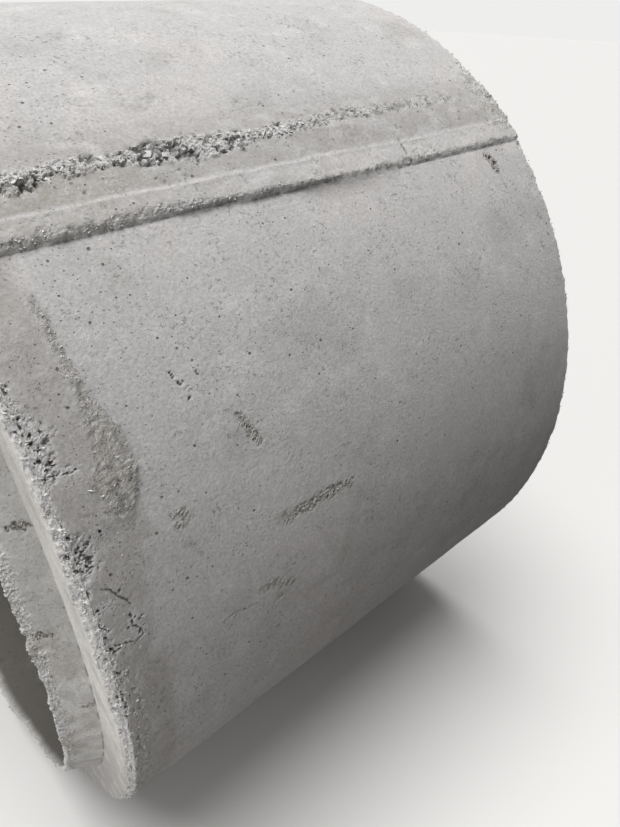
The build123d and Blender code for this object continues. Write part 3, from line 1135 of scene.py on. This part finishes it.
def grit_group():
    """Broken concrete: a tone about 1, a height in metres, gaps for painted shade and pale flecks."""
    tree, given, out = new_group(
        "broken_grit",
        {"Vector": ("vector", None), "Chip": ("value", 0.008)},
        {"Tone": "value", "Height": "value", "Gap": "value", "Fleck": "value"},
    )
    scale = maths(tree, "DIVIDE", 1.0, given["Chip"])
    pushed = ruffled(tree, given["Vector"], 0.007, 0.006)
    cells = add_node(tree, "ShaderNodeTexVoronoi", {"Vector": pushed, "Scale": scale})
    drawn = add_node(tree, "ShaderNodeSeparateColor", {"Color": cells.outputs["Color"]}).outputs
    rubble = add_node(
        tree, "ShaderNodeTexNoise",
        {"Vector": given["Vector"], "Scale": scale, "Detail": 4.0, "Roughness": 0.75},
    ).outputs["Fac"]
    rough = maths(tree, "SUBTRACT", rubble, 0.5)
    facet = maths(tree, "SUBTRACT", drawn["Red"], 0.5)
    tone = maths(tree, "MULTIPLY_ADD", rough, 0.9, maths(tree, "MULTIPLY_ADD", facet, 0.2, 1.0))
    tree.links.new(tone, out["Tone"])
    level = maths(tree, "MULTIPLY_ADD", facet, 0.35, maths(tree, "MULTIPLY", rough, 1.3))
    tree.links.new(maths(tree, "MULTIPLY", level, given["Chip"]), out["Height"])
    tree.links.new(ease(tree, rubble, 0.43, 0.33), out["Gap"])
    picked = ease(tree, drawn["Green"], 0.76, 0.80)
    tree.links.new(maths(tree, "MULTIPLY", picked, ease(tree, rubble, 0.45, 0.6)), out["Fleck"])
    return tree


def drag_group():
    """Lines left by a tool drawn round the pipe: a tone about 1 and a height in metres."""
    tree, given, out = new_group(
        "drag_lines", {"Vector": ("vector", None), "Width": ("value", 0.003)},
        {"Tone": "value", "Height": "value"},
    )
    lines = add_node(
        tree, "ShaderNodeVectorMath", {0: around_bore(tree, given["Vector"]), 1: (1.0, 0.03, 0.0)},
        operation="MULTIPLY",
    )
    streaks = add_node(
        tree, "ShaderNodeTexNoise",
        {
            "Vector": lines.outputs[0], "Scale": maths(tree, "DIVIDE", 1.0, given["Width"]),
            "Detail": 3.0, "Roughness": 0.6,
        },
    ).outputs["Fac"]
    centred = maths(tree, "SUBTRACT", streaks, 0.5)
    tree.links.new(maths(tree, "MULTIPLY_ADD", centred, 0.35, 1.0), out["Tone"])
    tree.links.new(maths(tree, "MULTIPLY", centred, given["Width"]), out["Height"])
    return tree


def ruffled(tree, vector, size, amount):
    """A place pushed about by soft noise, so that a pattern on it loses its even edges."""
    push = add_node(
        tree, "ShaderNodeTexNoise", {"Vector": vector, "Scale": 1 / size, "Detail": 1.0}
    ).outputs["Color"]
    centred = add_node(
        tree, "ShaderNodeVectorMath", {0: push, 1: (0.5, 0.5, 0.5)}, operation="SUBTRACT"
    ).outputs[0]
    return add_node(
        tree, "ShaderNodeVectorMath", {0: centred, 1: (amount,) * 3, 2: vector}, operation="MULTIPLY_ADD"
    ).outputs[0]


def shared(name):
    """A shared effect, built the first time it is asked for."""
    makers = {
        "sand_grain": sand_group, "air_pores": pore_group, "hairlines": hairline_group,
        "broken_grit": grit_group, "drag_lines": drag_group,
    }
    return bpy.data.node_groups.get(name) or makers[name]()


def use_group(tree, name, inputs):
    """One of the shared effects placed in a material with its own values."""
    return add_node(tree, "ShaderNodeGroup", inputs, node_tree=shared(name)).outputs


def layer(tree, name):
    """One of the layers that the sculpting left on the mesh."""
    return add_node(tree, "ShaderNodeAttribute", attribute_name=name).outputs["Fac"]


def new_material(name):
    """An empty material and the place that its patterns are laid out in."""
    material = bpy.data.materials.new(name)
    material.use_nodes = True
    tree = material.node_tree
    tree.nodes.clear()
    return material, tree, add_node(tree, "ShaderNodeTexCoord").outputs["Object"]


def finish_surface(tree, tint, height, strength):
    """The one shader of a concrete finish, from its colour and its height in metres."""
    bump = add_node(tree, "ShaderNodeBump", {"Height": height, "Strength": strength, "Distance": 1.0})
    surface = add_node(
        tree, "ShaderNodeBsdfPrincipled",
        {
            "Base Color": tint, "Roughness": 0.88, "Normal": bump.outputs["Normal"],
            "Specular IOR Level": 0.3,
        },
    )
    add_node(tree, "ShaderNodeOutputMaterial", {"Surface": surface.outputs["BSDF"]})


def broken_tint(tree, grit, below):
    """The colour of a broken face over its plain colour: grit, painted shade in its gaps, and flecks."""
    c = colours()
    toned = blend(tree, 1.0, below, grit["Tone"], way="MULTIPLY")
    flecked = blend(tree, maths(tree, "MULTIPLY", grit["Fleck"], 0.75), toned, c.fleck)
    # Painted shade in the grit's gaps.
    return blend(tree, maths(tree, "MULTIPLY", grit["Gap"], 0.72), flecked, c.hole_shade)


def broken_concrete():
    """The loose chips: grit all over."""
    material, tree, spot = new_material("broken_concrete")
    c = colours()
    grit = use_group(tree, "broken_grit", {"Vector": spot, "Chip": 0.006})
    pale = blend(tree, ease(tree, clouds(tree, spot, 0.012), 0.4, 0.6), c.broken, c.fleck)
    finish_surface(tree, broken_tint(tree, grit, pale), grit["Height"], 0.5)
    return material


def cast_concrete():
    """The whole casting: cement skin, smooth bright cement, grey-brown smears, stains, broken faces,
    painted shade and painted light.
    """
    c = colours()
    material, tree, spot = new_material("cast_concrete")
    broken, paste, smear_and_shade, recess_shade, warm, painted_shade = (layer(tree, name) for name in LAYERS)

    sand = use_group(tree, "sand_grain", {"Vector": spot, "Grain": 0.0042, "Contrast": 0.80})
    coarse = use_group(tree, "sand_grain", {"Vector": spot, "Grain": 0.011, "Contrast": 0.26})
    flat = add_node(tree, "ShaderNodeSeparateXYZ", {"Vector": spot}).outputs
    crowded = maths(tree, "MULTIPLY", ease(tree, flat["X"], -0.12, -0.34), 0.35)
    crowds = maths(tree, "MULTIPLY", ease(tree, clouds(tree, spot, 0.16), 0.40, 0.62), 0.38)
    crowded = maths(tree, "ADD", crowded, crowds)
    pores = use_group(
        tree, "air_pores", {"Vector": spot, "Spacing": 0.019, "Share": crowded, "Radius": 0.0016}
    )
    fewer = maths(tree, "MULTIPLY", crowded, 0.75)
    specks = use_group(
        tree, "air_pores", {"Vector": spot, "Spacing": 0.0066, "Share": fewer, "Radius": 0.0009}
    )
    hairs = use_group(tree, "hairlines", {"Vector": spot, "Spacing": 0.07})
    grit = use_group(tree, "broken_grit", {"Vector": spot, "Chip": 0.0045})
    drag = use_group(tree, "drag_lines", {"Vector": spot, "Width": 0.0035})
    crackle = clouds(tree, ruffled(tree, spot, 0.008, 0.006), 0.0065, detail=4.0, roughness=0.65)
    scuffed = ease(tree, clouds(tree, spot, 0.045, detail=4.0), 0.46, 0.60)
    scuffs = maths(tree, "MULTIPLY", ease(tree, crackle, 0.57, 0.66), scuffed)

    cool = ease(tree, clouds(tree, spot, 0.25, detail=3.0), 0.35, 0.65)
    skin = blend(tree, cool, c.face, c.face_cool)
    blotch = clouds(tree, spot, 0.06, detail=5.0, roughness=0.62)
    skin = blend(tree, ease(tree, blotch, 0.50, 0.72), skin, c.bloom)
    shade = clouds(tree, ruffled(tree, spot, 0.05, 0.05), 0.11, detail=4.0, roughness=0.6)
    skin = blend(tree, maths(tree, "MULTIPLY", ease(tree, shade, 0.50, 0.74), 0.6), skin, c.smear_and_shade)
    # Bright cement with its drag lines: the shoulder's smooth face, and painted light on the seam
    # ridge's foot and lip.
    dragged = ease(tree, paste, 0.7, 0.95)
    lined = blend(tree, dragged, c.paste, blend(tree, 1.0, c.paste, drag["Tone"], way="MULTIPLY"))
    smooth = blend(tree, paste, skin, lined)
    ragged = ease(tree, clouds(tree, spot, 0.03, detail=4.0), 0.24, 0.52)
    # Smears in the skin and along the seam, and the painted shade on the shoulder and the tongue's top.
    smeared = blend(tree, maths(tree, "MULTIPLY", smear_and_shade, ragged), smooth, c.smear_and_shade)
    tan = maths(tree, "MULTIPLY", warm, ease(tree, clouds(tree, spot, 0.018, detail=4.0), 0.38, 0.62))
    stained = blend(tree, tan, smeared, c.stain)
    tone = maths(tree, "MULTIPLY", sand["Tone"], coarse["Tone"])
    toned = blend(tree, 1.0, stained, tone, way="MULTIPLY")
    dusty = blend(tree, maths(tree, "MULTIPLY", warm, 0.8), c.broken, c.stain)
    chipped = broken_tint(tree, grit, dusty)
    worn_and_shaded = blend(tree, broken, toned, chipped)
    # Painted shade: the dark colour laid over the bore's inside and the tongue's top, a little lighter
    # where the clouds are low.
    worn_and_shaded = blend(tree, maths(tree, "MULTIPLY", painted_shade, ease(tree, shade, -0.4, 0.45)), worn_and_shaded, c.painted_shade)

    marked = maths(tree, "MAXIMUM", broken, maths(tree, "MULTIPLY", paste, 0.8))
    whole = maths(tree, "SUBTRACT", 1.0, marked)
    holes = maths(tree, "MAXIMUM", pores["Mask"], maths(tree, "MULTIPLY", specks["Mask"], 0.6))
    skin_holes = maths(tree, "MULTIPLY", holes, whole)
    skin_scuffs = maths(tree, "MULTIPLY", scuffs, whole)
    lines = maths(tree, "MULTIPLY", maths(tree, "MULTIPLY", hairs["Mask"], whole), 0.25)
    lines = maths(tree, "MAXIMUM", lines, maths(tree, "MULTIPLY", skin_scuffs, 0.3))
    shallow = maths(tree, "MULTIPLY", skin_holes, 0.75)
    deep = maths(tree, "MAXIMUM", shallow, maths(tree, "MULTIPLY", recess_shade, 0.8))
    # Painted shade: the dark hole colour in pores, hollows, hairline cracks and scuffs.
    tint = blend(tree, maths(tree, "MAXIMUM", deep, lines), worn_and_shaded, c.hole_shade)

    grain_height = maths(
        tree, "MULTIPLY_ADD", sand["Height"], 0.22, maths(tree, "MULTIPLY", coarse["Height"], 0.05)
    )
    grain_height = maths(tree, "MULTIPLY", grain_height, whole)
    skin_height = maths(tree, "MULTIPLY_ADD", skin_holes, -0.0012, grain_height)
    drag_height = maths(tree, "MULTIPLY", maths(tree, "MULTIPLY", drag["Height"], dragged), 0.35)
    grit_height = maths(tree, "MULTIPLY", maths(tree, "MULTIPLY", grit["Height"], broken), 0.8)
    height = maths(tree, "ADD", maths(tree, "ADD", skin_height, drag_height), grit_height)
    height = maths(tree, "MULTIPLY_ADD", skin_scuffs, -0.0007, height)
    finish_surface(tree, tint, height, 0.8)
    return material


class PIPE_OT_casting(bpy.types.Operator):
    """Cast the pipe: wall, tongue, shoulder, groove and mould seam in one piece"""

    bl_idname = "pipe.casting"
    bl_label = "Cast pipe"

    def execute(self, context):
        s, w = sizes(), wear()
        noise.seed_set(w.seed)
        at = Places(s)
        bm = turned_wall(s, at)
        refine_where_it_shows(bm, s, at)
        sculpt_wall(bm, s, w, at)
        broken = bm.verts.layers.float[LAYERS[BROKEN]]
        for face in bm.faces:
            face.smooth = sum(v[broken] for v in face.verts) < 0.5 * len(face.verts)
        piece = add_piece("cast_pipe", bm, cast_concrete())
        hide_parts(NODE)
        add_piece("broken_chips", loose_chips(s, w, at), broken_concrete())
        return {"FINISHED"}


def seen_rays(tree):
    """1 for what the camera sees, straight, in gloss or through glass, and 0 for light that spreads."""
    path = add_node(tree, "ShaderNodeLightPath").outputs
    seen = maths(tree, "MAXIMUM", path["Is Camera Ray"], path["Is Glossy Ray"])
    return maths(tree, "MAXIMUM", seen, path["Is Transmission Ray"])


def studio_floor(st):
    """A pale floor. Light that bounces off it under the pipe sees it darker than the camera does."""
    bm = bmesh.new()
    bmesh.ops.create_grid(bm, x_segments=1, y_segments=1, size=20.0)
    mesh = bpy.data.meshes.new("floor")
    bm.to_mesh(mesh)
    bm.free()
    material = bpy.data.materials.new("studio_floor")
    material.use_nodes = True
    tree = material.node_tree
    tree.nodes.clear()
    seen = seen_rays(tree)
    tint = blend(tree, seen, st.floor_bounce, st.floor)
    surface = add_node(tree, "ShaderNodeBsdfPrincipled", {"Base Color": tint, "Roughness": 0.95})
    add_node(tree, "ShaderNodeOutputMaterial", {"Surface": surface.outputs["BSDF"]})
    mesh.materials.append(material)
    floor = bpy.data.objects.new("floor", mesh)
    bpy.context.scene.collection.objects.link(floor)


def studio_light(st):
    """Soft light from all round, strongest from above, a wide lamp above and two low at the near end."""
    world = bpy.data.worlds.new("studio")
    bpy.context.scene.world = world
    world.use_nodes = True
    tree = world.node_tree
    tree.nodes.clear()
    seen = seen_rays(tree)
    way = add_node(tree, "ShaderNodeTexCoord").outputs["Generated"]
    height = ease(tree, add_node(tree, "ShaderNodeSeparateXYZ", {"Vector": way}).outputs["Z"], 0.1, 1.0)
    dome = maths(tree, "MULTIPLY_ADD", height, st.zenith - st.horizon, st.horizon)
    shown = maths(tree, "MULTIPLY", seen, st.backdrop)
    unseen = maths(tree, "SUBTRACT", 1.0, seen)
    level = maths(tree, "MULTIPLY_ADD", dome, unseen, shown)
    background = add_node(
        tree, "ShaderNodeBackground", {"Color": (1.0, 0.995, 0.99, 1.0), "Strength": level}
    )
    add_node(tree, "ShaderNodeOutputWorld", {"Surface": background.outputs["Background"]})

    above = bpy.data.lights.new("overhead", "SUN")
    above.energy = st.overhead
    above.angle = st.overhead_spread
    lamps = [(above, (0.0, 0.0, 3.0), (0.0, 0.0, 0.0))]
    for name, energy, size, place, target in (
        ("end", st.end, 0.9, (-2.6, -0.9, 0.8), (-0.45, -0.45, 0.6)),
        ("fill", st.fill, 0.6, (-1.2, -1.3, 0.5), (-0.3, -0.5, 0.6)),
    ):
        lamp = bpy.data.lights.new(name, "AREA")
        lamp.shape = "DISK"
        lamp.size = size
        lamp.energy = energy
        lamps.append((lamp, place, target))
    for lamp, place, target in lamps:
        holder = bpy.data.objects.new(lamp.name, lamp)
        holder.location = place
        aim = Vector(target) - holder.location
        holder.rotation_euler = aim.to_track_quat("-Z", "Y").to_euler()
        if lamp == above:
            holder.rotation_euler = (-st.overhead_back, -st.overhead_lean, 0.0)
        bpy.context.scene.collection.objects.link(holder)


def studio_camera(st):
    """The camera at the photograph's viewing angle."""
    data = bpy.data.cameras.new("camera")
    data.lens = st.lens
    data.sensor_width = 36.0
    camera = bpy.data.objects.new("camera", data)
    camera.location = (st.camera_right, -st.camera_back, st.camera_up)
    flat = math.cos(st.pitch)
    ahead = Vector((flat * math.cos(st.heading), flat * math.sin(st.heading), -math.sin(st.pitch)))
    camera.rotation_euler = ahead.to_track_quat("-Z", "Y").to_euler()
    bpy.context.scene.collection.objects.link(camera)
    bpy.context.scene.camera = camera


class PIPE_OT_studio(bpy.types.Operator):
    """Set the floor, the soft light and the camera"""

    bl_idname = "pipe.studio"
    bl_label = "Set studio"

    def execute(self, context):
        st = studio()
        context.scene.view_settings.view_transform = "Standard"
        studio_floor(st)
        studio_light(st)
        studio_camera(st)
        return {"FINISHED"}


class PIPE_PT_sidebar(bpy.types.Panel):
    bl_label = "Concrete pipe"
    bl_idname = "PIPE_PT_sidebar"
    bl_space_type = "VIEW_3D"
    bl_region_type = "UI"
    bl_category = "Pipe"

    def draw(self, context):
        for operator in OPERATORS:
            self.layout.operator(operator.bl_idname)
        for group in (sizes(), wear(), colours(), studio()):
            column = self.layout.column()
            for name in group.bl_rna.properties.keys():
                if name not in ("rna_type", "name"):
                    column.prop(group, name)


OPERATORS = (PIPE_OT_casting, PIPE_OT_studio)
GROUPS = {
    "pipe_sizes": PipeSizes,
    "pipe_wear": CastWear,
    "pipe_colours": ConcreteColours,
    "pipe_studio": StudioSettings,
}
CLASSES = (*GROUPS.values(), *OPERATORS, PIPE_PT_sidebar)


def register():
    for cls in CLASSES:
        bpy.utils.register_class(cls)
    for name, group in GROUPS.items():
        setattr(bpy.types.Scene, name, bpy.props.PointerProperty(type=group))


def unregister():
    for name in GROUPS:
        delattr(bpy.types.Scene, name)
    for cls in reversed(CLASSES):
        bpy.utils.unregister_class(cls)


def main():
    register()
    bpy.ops.pipe.studio()
    bpy.ops.pipe.casting()


if __name__ == "__main__":
    main()
